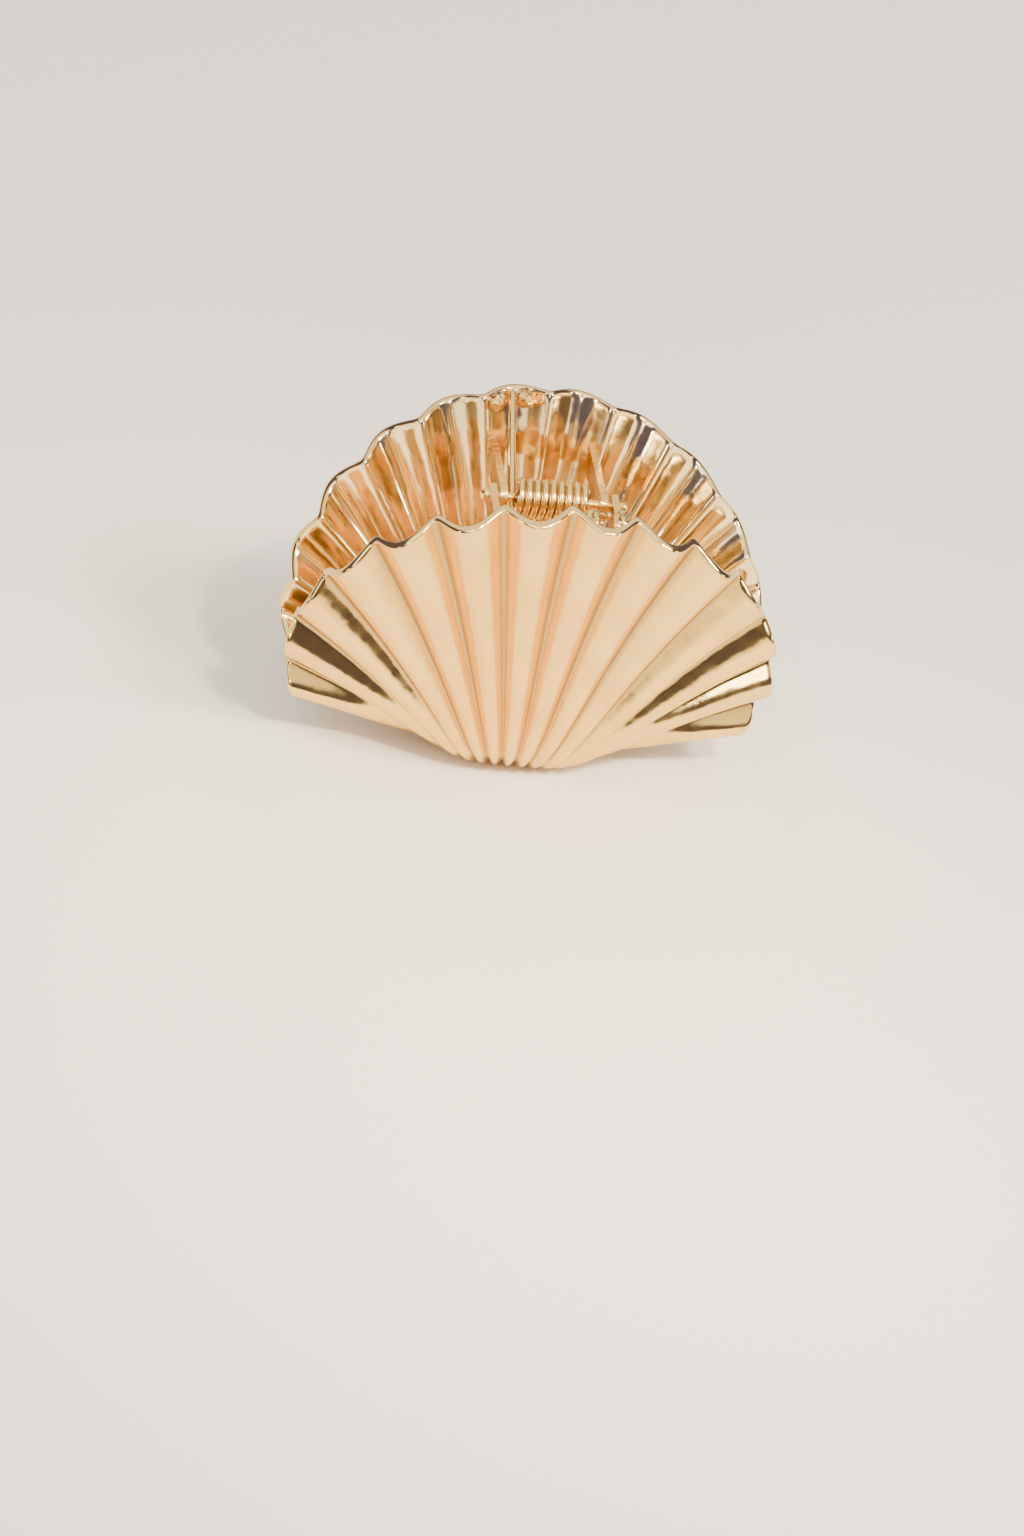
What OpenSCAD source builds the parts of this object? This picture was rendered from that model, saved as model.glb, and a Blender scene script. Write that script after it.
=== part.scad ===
// Scallop-shell hair claw clip.
// Two cast shells meet along a jaw line at the bottom, where the clip stands, and
// flare apart toward the fan edges at the top.  A pin through two pairs of lugs
// joins them, and a torsion spring on the pin holds the jaw shut.
// Millimetres, +Z up, X along the pin, front shell toward -Y.  The origin is the
// centre of the clip's footprint on the surface that it stands on.

/* [Overall] */
// Width across the widest ribs
shell_w = 65.4; // [50:0.1:90]
// Height from the jaw line to the top of the fan edge
fan_h = 43.2; // [34:0.2:60]
// Distance from the closing plane to each fan edge at the top
flare_y = 14.6; // [11:0.1:20]
// Bulge of each shell away from the closing plane
belly = 7.8; // [5:0.1:12]

/* [Shell wall] */
// Thickness of the cast wall
wall = 1.5; // [0.9:0.05:2]
// Number of ribs on each shell
ribs = 14; // [8:1:20]
// Angle that the whole fan covers, wing to wing
fan_angle = 176.4; // [150:0.2:178]
// Height of a rib above its grooves, as a share of the rib pitch
rib_ratio = 0.34; // [0.15:0.01:0.4]
// Gap left between the two closed jaws
jaw_gap = 0.3; // [0.2:0.05:1]

/* [Hinge] */
// Height of the pin axis above the jaw line
pin_h = 35.4; // [26:0.1:46]
// Diameter of the hinge pin
pin_d = 1.2; // [1:0.05:2]
// Diameter of the domed pin head
head_d = 2; // [1.6:0.05:3]
// Radial clearance between the pin and each lug bore
bore_clear = 0.05; // [0.02:0.01:0.1]
// Gap between a front lug and the back lug beside it
lug_gap = 0.5; // [0.2:0.05:1]
// Thickness of each lug
lug_t = 0.95; // [0.8:0.05:1.6]
// Outer radius of each lug around its bore
lug_r = 1.7; // [1.3:0.05:2.5]

/* [Spring] */
// Wire diameter
wire_d = 1; // [0.6:0.05:1.2]
// Outside diameter of the coil
coil_d = 5.5; // [4.5:0.1:7]
// Number of turns in the coil
turns = 9; // [5:1:12]
// Length of each spring leg from the pin axis
leg_l = 16.5; // [12:0.1:18]
// Gap between each end of the coil and the back lug there
coil_gap = 0.86; // [0.3:0.02:2]
// Gap between the end of a spring leg and the inside of its shell
leg_clear = 2; // [0.3:0.1:3]

/* [Hidden] */
bulge_out = 1.695;
bulge_in_t = 0.13;
bulge_fall = 1;
side_power = 2.2;
spread_w = 0.13;
spread_t = 0.04;
wing_rise = 1.9;
wing_t = 0.25;
side_root = 0.6;
lift_t = 0.12;
droop_z = 1.1;
droop_t = 0.12;
flare_power = 1.6;
fan_drop = 0.31;
fan_drop_power = 2.5;
rib_round = 0.2;
seg = 8;
rows = 16;
first_t = 0.055;
lean_min = 0.15;
stand_h = 2;
rib_angle = fan_angle / ribs;
half_ang = fan_angle / 2;
cols = ribs * seg;
// fan angle and radius where the shell is widest, and the groove surface's width there
wide_ang = min(68, half_ang);
wide_r = fan_r(wide_ang);
groove_w = 2 * wide_r * sin(wide_ang);
// share of the wall and the rib that stands out sideways there
side_lean = 0.25;
wide_rib = rib_ratio * wide_r * rib_angle * PI / 180;
x_scale = (shell_w - 2 * side_lean * (wall + wide_rib)) / groove_w;
pin_z = stand_h + pin_h;
bore_r = pin_d / 2 + bore_clear;
coil_r = (coil_d - wire_d) / 2;
turn_gap = 0.06;
pitch = wire_d + turn_gap;
// angle of each leg from straight up
leg_angle = leg_tilt(pitch * turns / 2);
wind = 360 * turns + 2 * (90 - leg_angle);
coil_shift = 0.14;
coil_left = -pitch * wind / 720 - coil_shift;
coil_right = coil_left + pitch * wind / 360;
back_lug_span = coil_right - coil_left + wire_d + 2 * coil_gap + lug_t;
front_lug_span = back_lug_span + 2 * (lug_t + lug_gap);
lug_rise = 1.1;
lug_drop = 2.6;
lug_tip = 0.4;
head_t = 0.9;
head_gap = 0.1;
tail_out = 1.5;
tail_chamfer = 0.15;
pin_left = -front_lug_span / 2 - lug_t / 2 - head_gap;
pin_right = front_lug_span / 2 + lug_t / 2 + tail_out;
keeper_d = 2.5;
keeper_l = 3.6;
keeper_gap = 0.15;
keeper_in = 2.5;
root_off = wall * 0.4;
keeper_off = wire_d / 2 + keeper_d / 2 + keeper_gap;
wire_sides = 8;
ring_step = 18;
rings = ceil(wind / ring_step);
gold = [0.86, 0.68, 0.36];
steel = [0.8, 0.72, 0.55];

// ---------- shell surface ----------
function clamp01(v) = min(1, max(0, v));
function fan_r(a) = fan_h * (1 - fan_drop * pow(abs(a) / 90, fan_drop_power));
function lift(t) = (t - lift_t * (1 - exp(-t / lift_t))) / (1 - lift_t);
function droop(t) = droop_z * (t / droop_t) * exp(1 - t / droop_t) * (1 - t);
function bulge(t) = bulge_out * (1 - exp(-t / bulge_in_t)) * pow(1 - t, bulge_fall);
function spread(t) = t + spread_w * (1 - exp(-t / spread_t)) * pow(1 - t, 2);
function wing(a, t) = wing_rise * pow(abs(a) / half_ang, 3) * (1 - exp(-t / wing_t));
function side(a) = pow(max(0, 1 - pow(abs(a) / half_ang, side_power)), side_root);
function flare(z) = jaw_gap / 2 + flare_y * pow(clamp01((z - stand_h) / fan_h), flare_power);

// groove surface seen from inside the closed clip; a = fan angle, t = 0 jaw .. 1 rim
function base_pt(a, t) =
    let (r = fan_r(a))
    let (zb = stand_h + r * cos(a) * lift(t))
    [x_scale * r * sin(a) * spread(t),
     -(flare(zb) + belly * bulge(t) * side(a)),
     zb - droop(t) * side(a) + wing(a, t)];

function unit(v) = v / max(norm(v), 1e-9);
// outward normal, always leaning away from the closing plane
function base_n(a, t) =
    let (t0 = max(0.012, min(t, 0.999)))
    let (a0 = max(-half_ang + 0.4, min(half_ang - 0.4, a)))
    let (da = base_pt(a0 + 0.3, t0) - base_pt(a0 - 0.3, t0))
    let (dt = base_pt(a0, min(1, t0 + 0.004)) - base_pt(a0, t0 - 0.004))
    let (n = unit(cross(da, dt)))
    unit([n[0], min(n[1], -lean_min), n[2]]);

// rib height: round lobes with narrow grooves between them
function rib_u(a) = (a + half_ang) / rib_angle;
function rib_shape(a) =
    let (f = rib_u(a) - floor(rib_u(a) + 1e-6))
    let (s = sin(180 * clamp01(f)))
    (sqrt(s * s + rib_round * rib_round) - rib_round) / (sqrt(1 + rib_round * rib_round) - rib_round);
function rib_h(a, t) = rib_ratio * fan_r(a) * rib_angle * PI / 180 * spread(t) * rib_shape(a);
function skin_pt(a, t, off) = base_pt(a, t) + base_n(a, t) * (rib_h(a, t) + off);

function row_t(i) = i == 0 ? 0 : first_t + (1 - first_t) * pow((i - 1) / (rows - 1), 1.3);
function col_a(j) = -half_ang + 2 * half_ang * j / cols;
function skin(off) = concat(
    [skin_pt(0, 0, off)],
    [for (i = [1:rows]) for (j = [0:cols]) skin_pt(col_a(j), row_t(i), off)]);
function vid(i, j) = i == 0 ? 0 : 1 + (i - 1) * (cols + 1) + j;

// the two skins are joined by a strip along both wing edges and the rim
function edge_ids() = concat(
    [0],
    [for (i = [1:rows]) vid(i, 0)],
    [for (j = [1:cols]) vid(rows, j)],
    [for (i = [rows - 1:-1:1]) vid(i, cols)]);

function shell_faces(n) =
    let (e = edge_ids())
    let (m = len(e))
    concat(
        [for (j = [0:cols - 1]) [0, vid(1, j), vid(1, j + 1)]],
        [for (i = [1:rows - 1]) for (j = [0:cols - 1])
            each [[vid(i, j), vid(i + 1, j + 1), vid(i, j + 1)],
                  [vid(i, j), vid(i + 1, j), vid(i + 1, j + 1)]]],
        [for (j = [0:cols - 1]) [n, n + vid(1, j + 1), n + vid(1, j)]],
        [for (i = [1:rows - 1]) for (j = [0:cols - 1])
            each [[n + vid(i, j), n + vid(i, j + 1), n + vid(i + 1, j + 1)],
                  [n + vid(i, j), n + vid(i + 1, j + 1), n + vid(i + 1, j)]]],
        [for (k = [0:m - 1])
            let (p = e[k])
            let (q = e[(k + 1) % m])
            each [[p, n + q, q], [p, n + p, n + q]]]);

module shell_solid() {
    inner = skin(0);
    outer = skin(wall);
    polyhedron(points = concat(outer, inner), faces = shell_faces(len(outer)));
}

// ---------- hinge ----------
// fan angle and reach of the wall point at a given x and height
function wall_at(x, z, off, a = 0, t = 0.6, n = 12) =
    n == 0 ? [a, t] :
    let (p = skin_pt(a, t, off))
    let (a2 = a + (x - p[0]) / (x_scale * fan_r(a) * spread(t)) * 180 / PI)
    let (t2 = min(0.995, t + (z - p[2]) / fan_h * 0.85))
    wall_at(x, z, off, a2, t2, n - 1);
function wall_y(x, z, off) =
    let (w = wall_at(x, z, off))
    -skin_pt(w[0], w[1], off)[1];
function root_y(x, z) = wall_y(x, z, root_off);

// tilt at which a leg's end has leg_clear to the inside of the wall, found in steps
function leg_tilt(x, ang = 50, n = 14) =
    n == 0 ? ang :
    let (y = coil_r * cos(ang) + leg_l * sin(ang))
    let (z = pin_z - coil_r * sin(ang) + leg_l * cos(ang))
    let (room = wall_y(x, z, 0) - y - wire_d / 2 - leg_clear)
    leg_tilt(x, ang + room / leg_l * 30, n - 1);

module lug(x, face) {
    top = pin_z + lug_rise;
    low = pin_z - lug_drop;
    translate([x - lug_t / 2, 0, 0])
    difference() {
        union() {
            translate([0, 0, pin_z])
            rotate([0, 90, 0])
            cylinder(r = lug_r, h = lug_t, $fn = 48);
            rotate([90, 0, 90])
            linear_extrude(height = lug_t)
            polygon([[face * lug_tip, pin_z + lug_r * 0.9],
                     [face * lug_tip, pin_z - lug_r * 0.9],
                     [face * root_y(x, low), low],
                     [face * root_y(x, top), top]]);
        }
        translate([-1, 0, pin_z])
        rotate([0, 90, 0])
        cylinder(r = bore_r, h = lug_t + 2, $fn = 48);
    }
}

// boss on the inside of the wall, square to it, beside a spring leg
module keeper(x) {
    kz = pin_z - coil_r * sin(leg_angle) + (leg_l - keeper_in) * cos(leg_angle);
    w = wall_at(x, kz, root_off);
    p = skin_pt(w[0], w[1], root_off);
    n = base_n(w[0], w[1]);
    translate(p - keeper_l * n)
    rotate([0, acos(n[2]), atan2(n[1], n[0])])
    cylinder(d1 = keeper_d * 0.8, d2 = keeper_d, h = keeper_l, $fn = 32);
}

module front_shell() {
    color(gold)
    shell_solid();
}

module back_shell() {
    color(gold)
    rotate([0, 0, 180])
    shell_solid();
}

module front_lug_left() {
    color(gold)
    lug(-front_lug_span / 2, -1);
}

module front_lug_right() {
    color(gold)
    lug(front_lug_span / 2, -1);
}

module back_lug_left() {
    color(gold)
    lug(-back_lug_span / 2, 1);
}

module back_lug_right() {
    color(gold)
    lug(back_lug_span / 2, 1);
}

module front_keeper_left() {
    color(gold)
    keeper(coil_right - keeper_off);
}

module front_keeper_right() {
    color(gold)
    keeper(coil_right + keeper_off);
}

module back_keeper_left() {
    color(gold)
    rotate([0, 0, 180])
    keeper(-coil_left + keeper_off);
}

module back_keeper_right() {
    color(gold)
    rotate([0, 0, 180])
    keeper(-coil_left - keeper_off);
}

module hinge_pin() {
    color(steel)
    translate([pin_left, 0, pin_z])
    rotate([0, 90, 0])
    rotate_extrude($fn = 48)
    polygon([[0, -head_t],
             [head_d * 0.26, -head_t * 0.9],
             [head_d * 0.43, -head_t * 0.6],
             [head_d * 0.5, -head_t * 0.25],
             [head_d * 0.5, 0],
             [pin_d / 2, 0],
             [pin_d / 2, pin_right - pin_left - tail_chamfer],
             [pin_d / 2 - tail_chamfer, pin_right - pin_left],
             [0, pin_right - pin_left]]);
}

// ---------- torsion spring ----------
// Each ring of the wire is a point and its angle around the pin; both legs leave
// the coil along its tangent.
function wire_pt(ang, x) = [x, coil_r * sin(ang), pin_z + coil_r * cos(ang)];
function coil_ang(k) = leg_angle + 90 + wind * k / rings;
function coil_x(k) = coil_left + (coil_right - coil_left) * k / rings;
function leg_pt(side, d) =
    let (ang = side > 0 ? leg_angle + 90 : 270 - leg_angle)
    wire_pt(ang, side > 0 ? coil_left : coil_right)
        + d * [0, side * sin(leg_angle), cos(leg_angle)];
function stops(d0, d1, n) = [for (i = [0:n]) d0 + (d1 - d0) * i / n];

path = concat(
    [for (d = stops(leg_l, leg_l / 6, 4)) [leg_pt(1, d), leg_angle + 90]],
    [for (k = [0:rings]) [wire_pt(coil_ang(k), coil_x(k)), coil_ang(k)]],
    [for (d = stops(leg_l / 6, leg_l, 4)) [leg_pt(-1, d), 270 - leg_angle]]);

function ring(p) = [for (s = [0:wire_sides - 1])
    let (b = 360 * (s + 0.5) / wire_sides)
    let (out = [0, sin(p[1]), cos(p[1])])
    p[0] + wire_d / 2 * (cos(b) * out + sin(b) * [1, 0, 0])];

module torsion_spring() {
    n = len(path);
    w = wire_sides;
    color(steel)
    polyhedron(
        points = [for (p = path) each ring(p)],
        faces = concat(
            [[for (s = [0:w - 1]) s]],
            [for (i = [0:n - 2]) for (s = [0:w - 1])
                let (s2 = (s + 1) % w)
                each [[i * w + s, i * w + w + s, i * w + w + s2],
                      [i * w + s, i * w + w + s2, i * w + s2]]],
            [[for (s = [w - 1:-1:0]) (n - 1) * w + s]]));
}

front_shell();
back_shell();
front_lug_left();
front_lug_right();
back_lug_left();
back_lug_right();
front_keeper_left();
front_keeper_right();
back_keeper_left();
back_keeper_right();
hinge_pin();
torsion_spring();
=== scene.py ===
"""Looks of the gold scallop-shell claw clip: shells, hinge, spring, metal, light and camera.

Lengths that describe the clip are in millimetres, as in the CAD source, and MM turns
them into the frame's metres where meshes are made.
"""
from math import cos, radians, sin, pi

import bmesh
import bpy
import numpy as np
from mathutils import Matrix, Vector, noise


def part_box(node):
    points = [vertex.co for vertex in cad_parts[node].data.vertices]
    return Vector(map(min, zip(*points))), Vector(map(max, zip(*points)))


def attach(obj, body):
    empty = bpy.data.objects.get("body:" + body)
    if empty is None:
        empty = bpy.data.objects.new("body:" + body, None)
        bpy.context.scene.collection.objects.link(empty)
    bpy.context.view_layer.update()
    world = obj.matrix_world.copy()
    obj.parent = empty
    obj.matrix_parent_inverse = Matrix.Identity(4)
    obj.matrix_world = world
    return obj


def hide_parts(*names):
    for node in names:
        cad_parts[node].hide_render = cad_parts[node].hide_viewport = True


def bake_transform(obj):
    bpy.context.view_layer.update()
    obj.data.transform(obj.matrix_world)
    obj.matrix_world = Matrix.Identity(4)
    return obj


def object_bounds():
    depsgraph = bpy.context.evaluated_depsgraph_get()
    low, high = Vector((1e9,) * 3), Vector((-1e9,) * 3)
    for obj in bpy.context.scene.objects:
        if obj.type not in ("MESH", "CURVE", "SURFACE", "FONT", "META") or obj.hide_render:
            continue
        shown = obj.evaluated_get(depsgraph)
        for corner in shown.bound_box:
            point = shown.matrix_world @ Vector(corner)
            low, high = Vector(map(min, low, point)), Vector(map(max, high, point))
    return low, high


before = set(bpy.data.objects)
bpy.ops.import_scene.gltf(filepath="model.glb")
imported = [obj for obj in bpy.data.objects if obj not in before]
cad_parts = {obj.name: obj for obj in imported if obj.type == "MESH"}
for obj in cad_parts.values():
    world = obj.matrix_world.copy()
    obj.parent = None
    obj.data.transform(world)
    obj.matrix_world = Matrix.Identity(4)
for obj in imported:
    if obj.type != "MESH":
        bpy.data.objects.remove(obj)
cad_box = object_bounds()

MM = 0.001

# ---------- sizes of the clip, the same as the CAD part's ----------
SHELL_W = 65.4
FAN_H = 43.2
FLARE_Y = 14.6
BELLY = 7.8
WALL = 1.5
RIBS = 14
FAN_ANGLE = 176.4
RIB_ANGLE = FAN_ANGLE / RIBS
RIB_RATIO = 0.34
JAW_GAP = 0.3
STAND_H = 2
PIN_Z = 37.4
PIN_D = 1.2
WIRE_D = 1.0
COIL_D = 5.5
TURNS = 9
LEG_L = 16.5
LEG_ANGLE = 57.1
TURN_GAP = 0.06
COIL_SHIFT = 0.14

BULGE_OUT = 1.695
BULGE_IN_T = 0.13
BULGE_FALL = 1
SIDE_POWER = 2.2
SIDE_ROOT = 0.6
SPREAD_W = 0.13
SPREAD_T = 0.04
WING_RISE = 1.9
WING_T = 0.25
LIFT_T = 0.12
DROOP_Z = 1.1
DROOP_T = 0.12
FLARE_POWER = 1.6
FAN_DROP = 0.31
FAN_DROP_POWER = 2.5
RIB_ROUND = 0.2
LEAN_MIN = 0.15
FIRST_T = 0.055
WIDE_ANG = 68
SIDE_LEAN = 0.25
HALF_ANG = FAN_ANGLE / 2

# mesh fineness of the shells and how much their rim is rounded
LOBE_STEPS = 22
ROWS = 84
RIM_STEPS = 8
RIM_ROUND = 0.34
# how high on a rib the rim counts, 0 groove .. 1 crest, for the painted groove and flank shade in the
# metal's colour
RIM_RIB = 0.8


# ---------- shell surface ----------
def fan_r(a):
    return FAN_H * (1 - FAN_DROP * (np.abs(a) / 90) ** FAN_DROP_POWER)


WIDE_R = fan_r(WIDE_ANG)
WIDE_RIB = RIB_RATIO * WIDE_R * radians(RIB_ANGLE)
X_SCALE = (SHELL_W - 2 * SIDE_LEAN * (WALL + WIDE_RIB)) / (2 * WIDE_R * sin(radians(WIDE_ANG)))


def lift(t):
    return (t - LIFT_T * (1 - np.exp(-t / LIFT_T))) / (1 - LIFT_T)


def droop(t):
    return DROOP_Z * (t / DROOP_T) * np.exp(1 - t / DROOP_T) * (1 - t)


def bulge(t):
    return BULGE_OUT * (1 - np.exp(-t / BULGE_IN_T)) * (1 - t) ** BULGE_FALL


def spread(t):
    return t + SPREAD_W * (1 - np.exp(-t / SPREAD_T)) * (1 - t) ** 2


def wing(a, t):
    return WING_RISE * (np.abs(a) / HALF_ANG) ** 3 * (1 - np.exp(-t / WING_T))


def side(a):
    return np.clip(1 - (np.abs(a) / HALF_ANG) ** SIDE_POWER, 0, 1) ** SIDE_ROOT


def flare(z):
    return JAW_GAP / 2 + FLARE_Y * np.clip((z - STAND_H) / FAN_H, 0, 1) ** FLARE_POWER


def base_pt(a, t):
    """Groove surface of the front shell: a = fan angle in degrees, t = 0 jaw .. 1 rim."""
    t = np.clip(t, 0, 1)
    r = fan_r(a)
    rise = STAND_H + r * np.cos(np.radians(a)) * lift(t)
    x = X_SCALE * r * np.sin(np.radians(a)) * spread(t)
    y = -(flare(rise) + BELLY * bulge(t) * side(a))
    z = rise - droop(t) * side(a) + wing(a, t)
    return np.stack([x, y, z], -1)


def unit(v):
    return v / np.maximum(np.linalg.norm(v, axis=-1, keepdims=True), 1e-9)


def base_n(a, t):
    """Outward normal of the groove surface, always leaning away from the closing plane."""
    t0 = np.clip(t, 0.012, 0.999)
    a0 = np.clip(a, -HALF_ANG + 0.4, HALF_ANG - 0.4)
    da = base_pt(a0 + 0.3, t0) - base_pt(a0 - 0.3, t0)
    dt = base_pt(a0, np.minimum(1, t0 + 0.004)) - base_pt(a0, t0 - 0.004)
    n = unit(np.cross(da, dt))
    n[..., 1] = np.minimum(n[..., 1], -LEAN_MIN)
    return unit(n)


def rib_shape(a):
    f = (a + HALF_ANG) / RIB_ANGLE
    f = f - np.floor(f + 1e-6)
    s = np.sin(pi * np.clip(f, 0, 1))
    return (np.sqrt(s * s + RIB_ROUND**2) - RIB_ROUND) / ((1 + RIB_ROUND**2) ** 0.5 - RIB_ROUND)


def rib_h(a, t):
    return RIB_RATIO * fan_r(a) * radians(RIB_ANGLE) * spread(t) * rib_shape(a)


def skin_pt(a, t, off):
    return base_pt(a, t) + base_n(a, t) * (rib_h(a, t) + off)[..., None]


def fan_grid():
    """Fan angles, crowded at the grooves, and reaches from the jaw to the rim."""
    k = np.arange(LOBE_STEPS) / LOBE_STEPS
    in_lobe = 0.5 * k + 0.5 * (0.5 - 0.5 * np.cos(pi * k))
    starts = -HALF_ANG + RIB_ANGLE * np.arange(RIBS)
    a = np.append((starts[:, None] + RIB_ANGLE * in_lobe[None, :]).ravel(), HALF_ANG)
    t = np.append(0, FIRST_T + (1 - FIRST_T) * (np.arange(ROWS) / (ROWS - 1)) ** 1.2)
    return a, t


def make_mesh(name, points, faces):
    """Closed smooth-shaded object from points in millimetres, its faces turned outward."""
    mesh = bpy.data.meshes.new(name)
    mesh.from_pydata([tuple(p) for p in np.asarray(points) * MM], [], faces)
    mesh.validate()
    mesh.update()
    work = bmesh.new()
    work.from_mesh(mesh)
    bmesh.ops.recalc_face_normals(work, faces=work.faces)
    work.to_mesh(mesh)
    work.free()
    for face in mesh.polygons:
        face.use_smooth = True
    obj = bpy.data.objects.new(name, mesh)
    bpy.context.scene.collection.objects.link(obj)
    return obj


def shell(name, half_turn):
    """Cast shell with its wall's edge rounded all the way round."""
    a, t = fan_grid()
    cols, rows = len(a), len(t)
    grid_a, grid_t = np.meshgrid(a, t)
    outer = skin_pt(grid_a, grid_t, np.full(grid_a.shape, WALL))
    inner = skin_pt(grid_a, grid_t, np.zeros(grid_a.shape))
    across = base_n(grid_a, grid_t)

    # one shared point at the jaw end of each skin
    outer_pts = np.concatenate([outer[:1, cols // 2], outer[1:].reshape(-1, 3)])
    inner_pts = np.concatenate([inner[:1, cols // 2], inner[1:].reshape(-1, 3)])
    across_pts = np.concatenate([across[:1, cols // 2], across[1:].reshape(-1, 3)])
    rib_value = np.concatenate([[0.5], np.repeat(rib_shape(a)[None], rows - 1, 0).ravel()])

    def vid(i, j):
        return 0 if i == 0 else 1 + (i - 1) * cols + j

    faces = []
    for base in (0, len(outer_pts)):
        for j in range(cols - 1):
            faces.append((base, base + vid(1, j), base + vid(1, j + 1)))
        for i in range(1, rows - 1):
            for j in range(cols - 1):
                quad = (vid(i, j), vid(i + 1, j), vid(i + 1, j + 1), vid(i, j + 1))
                faces.append(tuple(base + q for q in quad))

    edge = [vid(i, 0) for i in range(rows)]
    edge += [vid(rows - 1, j) for j in range(1, cols)]
    edge += [vid(i, cols - 1) for i in range(rows - 2, 0, -1)]
    edge = np.array(edge)
    mid = (outer_pts[edge] + inner_pts[edge]) / 2
    along = unit(np.roll(mid, -1, 0) - np.roll(mid, 1, 0))
    half_wall = (outer_pts[edge] - inner_pts[edge]) / 2
    proud = unit(np.cross(along, across_pts[edge]))
    centre = np.array([0, -FLARE_Y / 2, FAN_H / 2])
    if np.sum(proud * (mid - centre)) < 0:
        proud = -proud

    points = [outer_pts, inner_pts]
    first = len(outer_pts) + len(inner_pts)
    rings = [edge]
    for k in range(1, RIM_STEPS):
        turn = pi * k / RIM_STEPS
        ring = mid + cos(turn) * half_wall + sin(turn) * RIM_ROUND * proud
        ring[:, 1] = np.minimum(ring[:, 1], -JAW_GAP / 2)
        rings.append(np.arange(first, first + len(edge)))
        points.append(ring)
        first += len(edge)
    rings.append(edge + len(outer_pts))
    for low, high in zip(rings[:-1], rings[1:]):
        for k in range(len(edge)):
            n = (k + 1) % len(edge)
            faces.append((int(low[k]), int(low[n]), int(high[n]), int(high[k])))

    points = np.concatenate(points)
    if half_turn:
        points = points * np.array([-1, -1, 1])
    obj = make_mesh(name, points, faces)
    count = len(rib_value)
    on_rim = len(points) - 2 * count
    rib = np.concatenate([rib_value, rib_value, np.full(on_rim, RIM_RIB)])
    within = np.concatenate([np.zeros(count), np.ones(count), np.full(on_rim, 0.5)])
    for label, values in (("rib", rib), ("within", within)):
        layer = obj.data.attributes.new(label, "FLOAT", "POINT")
        layer.data.foreach_set("value", values.astype(np.float32))
    return obj


# ---------- wire, pin, lugs and keepers ----------
def tube(name, centres, ups, radius, sides=20):
    """Round wire along centres, with softly rounded ends; ups are square to the wire."""
    centres = np.asarray(centres, float)
    along = unit(np.gradient(centres, axis=0))
    reach = np.full(len(centres), float(radius))
    for turn in (35, 65, 85):
        proud = 0.5 * radius * sin(radians(turn))
        size = radius * cos(radians(turn)) ** 0.5
        centres = np.concatenate(
            [[centres[0] - proud * along[0]], centres, [centres[-1] + proud * along[-1]]])
        reach = np.concatenate([[size], reach, [size]])
        along = np.concatenate([along[:1], along, along[-1:]])
        ups = np.concatenate([ups[:1], ups, ups[-1:]])
    rights = unit(np.cross(along, unit(ups)))
    square = np.cross(rights, along)
    angle = 2 * pi * np.arange(sides) / sides
    ring = np.cos(angle)[None, :, None] * square[:, None] + np.sin(angle)[None, :, None] * rights[:, None]
    points = (centres[:, None] + reach[:, None, None] * ring).reshape(-1, 3)
    count = len(centres)
    faces = []
    for i in range(count - 1):
        for s in range(sides):
            n = (s + 1) % sides
            faces.append((i * sides + s, i * sides + n, (i + 1) * sides + n, (i + 1) * sides + s))
    faces.append(tuple(range(sides)))
    faces.append(tuple((count - 1) * sides + s for s in range(sides)))
    return make_mesh(name, points, faces)


COIL_R = (COIL_D - WIRE_D) / 2
PITCH = WIRE_D + TURN_GAP
WIND = 360 * TURNS + 2 * (90 - LEG_ANGLE)
COIL_LEFT = -PITCH * WIND / 720 - COIL_SHIFT
COIL_RIGHT = COIL_LEFT + PITCH * WIND / 360


def out_of(angle):
    return np.array([0, sin(radians(angle)), cos(radians(angle))])


def wire_pt(angle, x):
    return np.array([x, 0, PIN_Z]) + COIL_R * out_of(angle)


def torsion_spring():
    """Close-wound coil whose two legs leave along its tangent and bear on the shells."""
    start, stop = LEG_ANGLE + 90, 270 - LEG_ANGLE
    back = out_of(LEG_ANGLE)
    front = out_of(-LEG_ANGLE)
    leg = np.linspace(LEG_L, 0.4, 40)
    share = np.linspace(0, 1, int(WIND / 7.5))
    centres = [wire_pt(start, COIL_LEFT) + d * back for d in leg]
    centres += [wire_pt(start + WIND * k, COIL_LEFT + (COIL_RIGHT - COIL_LEFT) * k) for k in share]
    centres += [wire_pt(stop, COIL_RIGHT) + d * front for d in leg[::-1]]
    ups = [out_of(start)] * len(leg)
    ups += [out_of(start + WIND * k) for k in share]
    ups += [out_of(stop)] * len(leg)
    return tube("spring_wire", centres, np.array(ups), WIRE_D / 2)


def lathe_x(name, profile, sides=40):
    """Turned shape about the pin axis from (x, radius) points; it closes at both ends."""
    angle = 2 * pi * np.arange(sides) / sides
    points = [(x, r * cos(g), PIN_Z + r * sin(g)) for x, r in profile for g in angle]
    faces = []
    for i in range(len(profile) - 1):
        for s in range(sides):
            n = (s + 1) % sides
            faces.append((i * sides + s, i * sides + n, (i + 1) * sides + n, (i + 1) * sides + s))
    faces.append(tuple(range(sides)))
    faces.append(tuple((len(profile) - 1) * sides + s for s in range(sides)))
    return make_mesh(name, points, faces)


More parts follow.
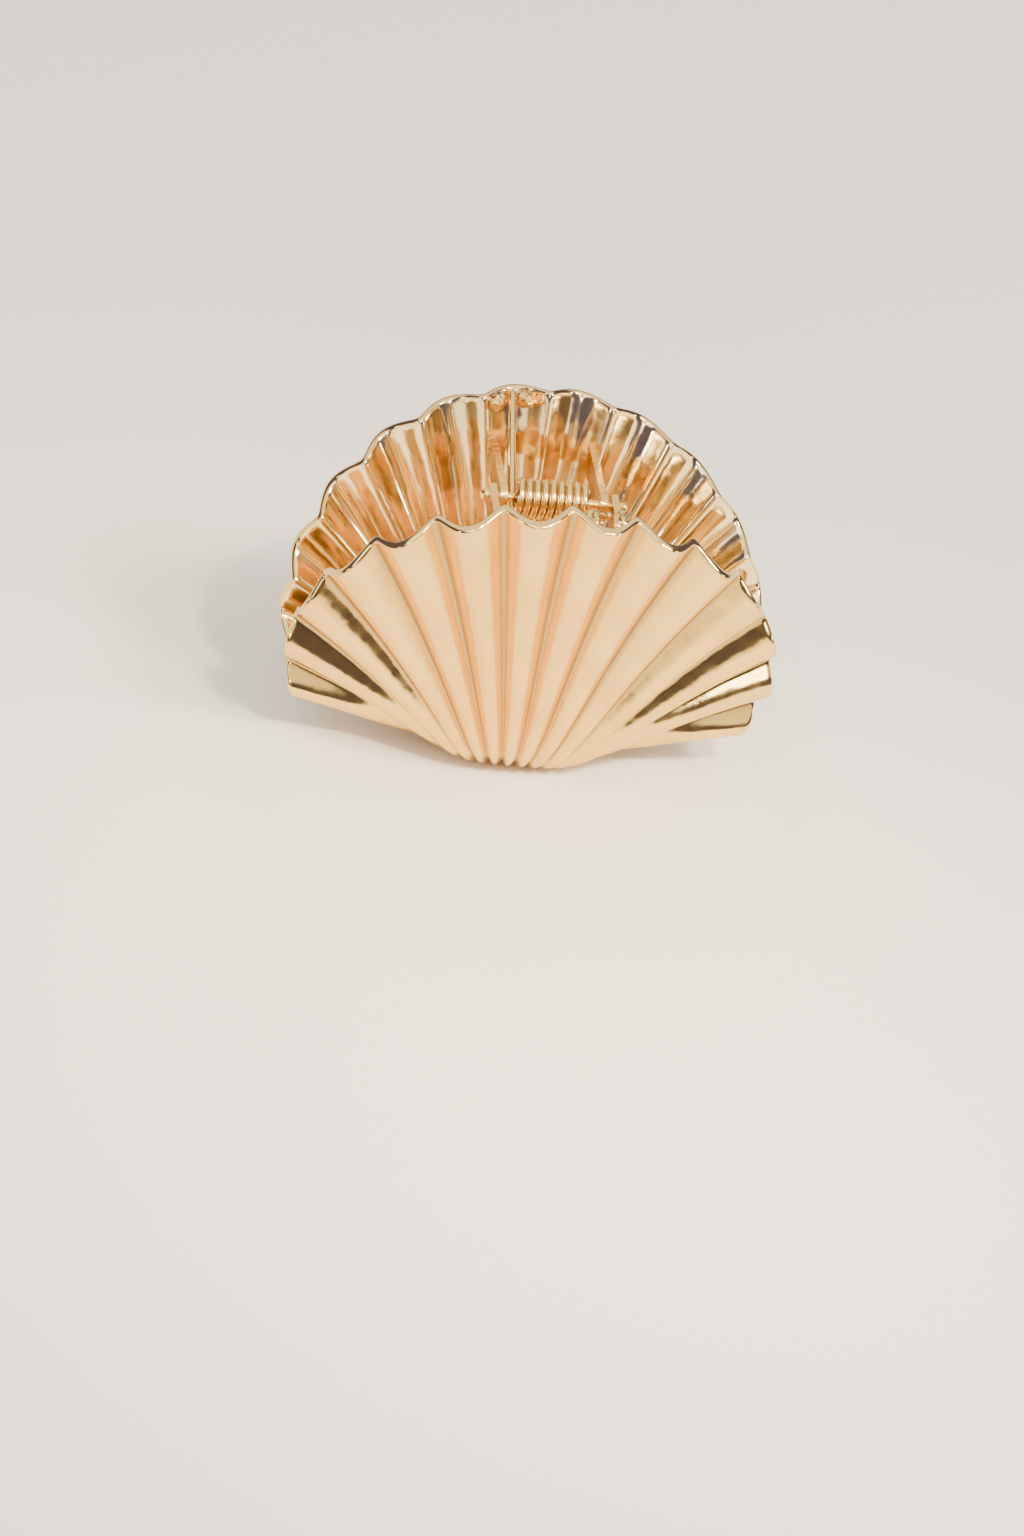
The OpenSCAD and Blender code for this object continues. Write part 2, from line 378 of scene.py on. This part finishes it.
def hinge_pin():
    """Pin with a ball head at its left end and a lightly peened tail at its right end."""
    low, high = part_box("hinge_pin")
    left, right = low[0] / MM, high[0] / MM
    ball = (high[2] - low[2]) / MM / 2
    neck = PIN_D / 2
    neck_gap, tail_start, tail_l, tail_proud = 0.15, 0.55, 0.5, 0.07
    steps = np.linspace(4, 143, 16)
    profile = [(left + ball * (1 - cos(radians(g))), ball * sin(radians(g))) for g in steps]
    profile += [(left + 2 * ball - neck_gap, neck)]
    profile += [(x, neck) for x in np.linspace(left + 2 * ball, right - 0.9, 12)]
    for g in np.linspace(0, 86, 9):
        profile.append((right - tail_start + tail_l * sin(radians(g)),
                        (neck + tail_proud) * cos(radians(g)) ** 0.5))
    return lathe_x("pin", profile)


def keeper(node, seed, lean):
    """Rough cast nub beside a spring leg, pointing out of the wall."""
    low, high = (np.array(corner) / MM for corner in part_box(node))
    centre = Vector((low + high) / 2)
    size = (high - low) / 2
    nub_reach, lump_rise, pit_depth = 2.0, 0.34, 0.09
    work = bmesh.new()
    bmesh.ops.create_icosphere(work, subdivisions=5, radius=1)
    shape = Matrix.Rotation(lean, 4, "X") @ Matrix.Diagonal((size[0], size[0], nub_reach, 1))
    for v in work.verts:
        lumps = noise.noise(v.co * 1.3 + Vector((seed, 0, 0))) * lump_rise
        pits = noise.noise(v.co * 4.1 + Vector((0, seed, 0))) * pit_depth
        v.co = (centre + shape @ (v.co * (0.95 + lumps + pits))) * MM
    mesh = bpy.data.meshes.new(node + "_nub")
    work.to_mesh(mesh)
    work.free()
    for face in mesh.polygons:
        face.use_smooth = True
    obj = bpy.data.objects.new(node + "_nub", mesh)
    bpy.context.scene.collection.objects.link(obj)
    return obj


# ---------- metal ----------
def gold(name, colour, rough, wave, wave_size, groove=False):
    """Plated gold: mirror-like, with slow casting waves and a fine grain; with groove set, painted shade
    darkens the grooves and rib flanks and the inside is painted paler.
    """
    mat = bpy.data.materials.new(name)
    mat.use_nodes = True
    nodes, links = mat.node_tree.nodes, mat.node_tree.links
    bsdf = nodes["Principled BSDF"]
    bsdf.inputs["Metallic"].default_value = 1
    place = nodes.new("ShaderNodeTexCoord").outputs["Object"]

    def noise_at(size, detail, rough_share=0.5):
        node = nodes.new("ShaderNodeTexNoise")
        node.inputs["Scale"].default_value = 1 / (size * MM)
        node.inputs["Detail"].default_value = detail
        node.inputs["Roughness"].default_value = rough_share
        links.new(place, node.inputs["Vector"])
        return node.outputs["Fac"]

    def spread_to(value, low, high, start=0.35, stop=0.65):
        node = nodes.new("ShaderNodeMapRange")
        node.inputs["From Min"].default_value = start
        node.inputs["From Max"].default_value = stop
        node.inputs["To Min"].default_value = low
        node.inputs["To Max"].default_value = high
        links.new(value, node.inputs["Value"])
        return node.outputs["Result"]

    # colour: slightly redder in patches where the plating is thin; the hollows get painted shade below
    tone = nodes.new("ShaderNodeMix")
    tone.data_type = "RGBA"
    tone.inputs["A"].default_value = (*colour, 1)
    tone.inputs["B"].default_value = (colour[0] * 0.86, colour[1] * 0.82, colour[2] * 0.72, 1)
    patches = spread_to(noise_at(7, 3), 0, 0.7)
    links.new(patches, tone.inputs["Factor"])
    surface = tone.outputs["Result"]

    def laid_over(under, colour_over, share):
        layer = nodes.new("ShaderNodeMix")
        layer.data_type = "RGBA"
        layer.inputs["B"].default_value = (*colour_over, 1)
        links.new(under, layer.inputs["A"])
        links.new(share, layer.inputs["Factor"])
        return layer.outputs["Result"]

    def shape_value(attribute):
        node = nodes.new("ShaderNodeAttribute")
        node.attribute_name = attribute
        return node.outputs["Fac"]

    if groove:
        # painted shade: a dark line along each groove and a darker, warmer flank beside it stand in for
        # the shade and reflections in the hollows; the inside is painted paler to offset the light the
        # gold bounces there
        surface = laid_over(surface, FLANK_SHADE, spread_to(shape_value("rib"), 0.75, 0, 0.1, 0.95))
        surface = laid_over(surface, GROOVE_SHADE, spread_to(shape_value("rib"), 0.8, 0, 0, 0.22))
        surface = laid_over(surface, INSIDE_PAINTED_LIGHT, spread_to(shape_value("within"), 0, 0.85, 0.4, 0.9))
    links.new(surface, bsdf.inputs["Base Color"])
    links.new(spread_to(noise_at(2.2, 5), rough * 0.75, rough * 1.35), bsdf.inputs["Roughness"])

    # relief: casting waves under a fine polish grain
    waves = nodes.new("ShaderNodeBump")
    waves.inputs["Distance"].default_value = wave * MM
    waves.inputs["Strength"].default_value = 1
    links.new(noise_at(wave_size, 1.5), waves.inputs["Height"])
    grain = nodes.new("ShaderNodeBump")
    grain.inputs["Distance"].default_value = 0.003 * MM
    grain.inputs["Strength"].default_value = 1
    links.new(noise_at(0.18, 3), grain.inputs["Height"])
    links.new(waves.outputs["Normal"], grain.inputs["Normal"])
    links.new(grain.outputs["Normal"], bsdf.inputs["Normal"])
    return mat


# colours: the shells' outside, painted shade on the ribs' flanks and along a groove, and the inside
# painted paler against bounced light
GOLD = (0.93, 0.60, 0.19)
FLANK_SHADE = (0.84, 0.54, 0.14)
GROOVE_SHADE = (0.34, 0.21, 0.08)
INSIDE_PAINTED_LIGHT = (0.99, 0.76, 0.40)
shell_gold = gold("shell_gold", GOLD, 0.11, 0.09, 3.2, groove=True)
rough_gold = gold("cast_gold", GOLD, 0.2, 0.12, 0.9)
pin_gold = gold("pin_gold", (0.96, 0.66, 0.21), 0.16, 0.012, 1.2)
wire_gold = gold("wire_gold", (0.96, 0.66, 0.23), 0.18, 0.01, 1.5)


def dress(obj, mat, body=None):
    obj.data.materials.clear()
    obj.data.materials.append(mat)
    if body:
        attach(obj, body)


# ---------- the clip ----------
for half, half_turn in (("front", False), ("back", True)):
    plate = shell(half + "_scallop", half_turn)
    dress(plate, shell_gold, half + "_half")
    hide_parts(half + "_shell")
    for end in ("left", "right"):
        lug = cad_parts[half + "_lug_" + end]
        lug.data.materials.clear()
        lug.data.materials.append(rough_gold)
        edge = lug.modifiers.new("soft_edges", "BEVEL")
        edge.width = 0.16 * MM
        edge.segments = 3
        edge.limit_method = "ANGLE"
        edge.angle_limit = radians(40)
        node = half + "_keeper_" + end
        nub = keeper(node, 3.7 * len(half) + 9.1 * len(end), radians(-115 if half_turn else 115))
        dress(nub, rough_gold, half + "_half")
        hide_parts(node)

pin = hinge_pin()
dress(pin, pin_gold, "front_half")
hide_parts("hinge_pin")

spring = torsion_spring()
dress(spring, wire_gold)
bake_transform(spring)
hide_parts("torsion_spring")


# ---------- floor, light and camera ----------
def floor():
    low = cad_box[0][2]
    bpy.ops.mesh.primitive_circle_add(vertices=96, radius=3, fill_type="NGON", location=(0, 0, low))
    ground = bpy.context.object
    ground.name = "floor"
    mat = bpy.data.materials.new("pale_floor")
    mat.use_nodes = True
    bsdf = mat.node_tree.nodes["Principled BSDF"]
    bsdf.inputs["Base Color"].default_value = (0.88, 0.82, 0.70, 1)
    bsdf.inputs["Roughness"].default_value = 0.75
    ground.data.materials.append(mat)


def place_light(light, place, aim, watts, colour):
    light.energy = watts
    light.color = colour
    obj = bpy.data.objects.new(light.name, light)
    obj.location = place
    obj.rotation_euler = (Vector(aim) - Vector(place)).to_track_quat("-Z", "Y").to_euler()
    bpy.context.scene.collection.objects.link(obj)


def area_light(name, place, aim, width, height, watts, colour=(1, 1, 1)):
    light = bpy.data.lights.new(name, "AREA")
    light.shape = "RECTANGLE"
    light.size = width
    light.size_y = height
    place_light(light, place, aim, watts, colour)


def pool_light(place, aim, watts, colour):
    """Soft warm pool on the floor in front of the clip."""
    light = bpy.data.lights.new("pool", "SPOT")
    light.spot_size = radians(16)
    light.spot_blend = 1
    light.shadow_soft_size = 0.06
    place_light(light, place, aim, watts, colour)


def sky():
    """Warm pale sky over a dim band round the horizon, higher to the sides, which the gold mirrors."""
    world = bpy.data.worlds.new("studio")
    bpy.context.scene.world = world
    world.use_nodes = True
    nodes, links = world.node_tree.nodes, world.node_tree.links
    side_climb = 0.75
    band = (0.09, 0.08, 0.14, 1)
    place = nodes.new("ShaderNodeTexCoord")
    split = nodes.new("ShaderNodeSeparateXYZ")
    links.new(place.outputs["Generated"], split.inputs["Vector"])
    # the band climbs toward +X and -X, so the flanks of the ribs mirror it
    sideways = nodes.new("ShaderNodeMath")
    sideways.operation = "MULTIPLY"
    links.new(split.outputs["X"], sideways.inputs[0])
    links.new(split.outputs["X"], sideways.inputs[1])
    height = nodes.new("ShaderNodeMath")
    height.operation = "MULTIPLY_ADD"
    height.inputs[1].default_value = -side_climb
    links.new(sideways.outputs["Value"], height.inputs[0])
    links.new(split.outputs["Z"], height.inputs[2])
    ramp = nodes.new("ShaderNodeValToRGB")
    ramp.color_ramp.interpolation = "EASE"
    stops = ramp.color_ramp.elements
    stops[0].position = 0.0
    stops[0].color = band
    stops[1].position = 1.0
    stops[1].color = (1.0, 0.97, 0.90, 1)
    for position, colour in ((0.22, band), (0.36, (1.0, 0.95, 0.86, 1))):
        stop = stops.new(position)
        stop.color = colour
    links.new(height.outputs["Value"], ramp.inputs["Fac"])
    links.new(ramp.outputs["Color"], nodes["Background"].inputs["Color"])
    nodes["Background"].inputs["Strength"].default_value = 1.6


def camera():
    """Long lens from the front left, looking down, with the clip rolled in the frame."""
    down = radians(31)
    yaw = radians(10.9)
    roll = radians(10.6)
    lens = 243.6
    distance = 930
    aside = 0.54
    below = 4.03
    ahead = Vector((sin(yaw) * cos(down), cos(yaw) * cos(down), -sin(down)))
    level = Vector((cos(yaw), -sin(yaw), 0))
    upright = level.cross(ahead)
    right = cos(roll) * level + sin(roll) * upright
    up = -sin(roll) * level + cos(roll) * upright
    middle = aside * right - below * up + Vector((0, 0, 0.5))
    data = bpy.data.cameras.new("camera")
    data.sensor_fit = "HORIZONTAL"
    data.sensor_width = 36
    data.lens = lens
    data.clip_start = 0.05
    data.clip_end = 20
    obj = bpy.data.objects.new("camera", data)
    turn = Matrix((right, up, -ahead)).transposed().to_4x4()
    obj.matrix_world = Matrix.Translation((middle - distance * ahead) * MM) @ turn
    bpy.context.scene.collection.objects.link(obj)
    bpy.context.scene.camera = obj


floor()
sky()
CLIP_MIDDLE = (0, 0, 0.02)
area_light("key", (0.60, -0.45, 0.75), CLIP_MIDDLE, 0.3, 0.3, 15, (1, 0.96, 0.9))
pool_light((0.25, -0.55, 0.75), (0.0, -0.07, 0), 60, (1, 0.86, 0.62))
area_light("fill", (-0.5, -0.6, 0.9), CLIP_MIDDLE, 0.8, 0.8, 5, (0.96, 0.98, 1))
area_light("window_left", (-1.0, -0.25, 0.30), CLIP_MIDDLE, 0.10, 0.22, 1.6)
area_light("window_right", (1.0, -0.30, 0.26), CLIP_MIDDLE, 0.10, 0.20, 2.6)
area_light("window_front", (-0.15, -1.1, 0.36), CLIP_MIDDLE, 0.30, 0.12, 1.8)
camera()
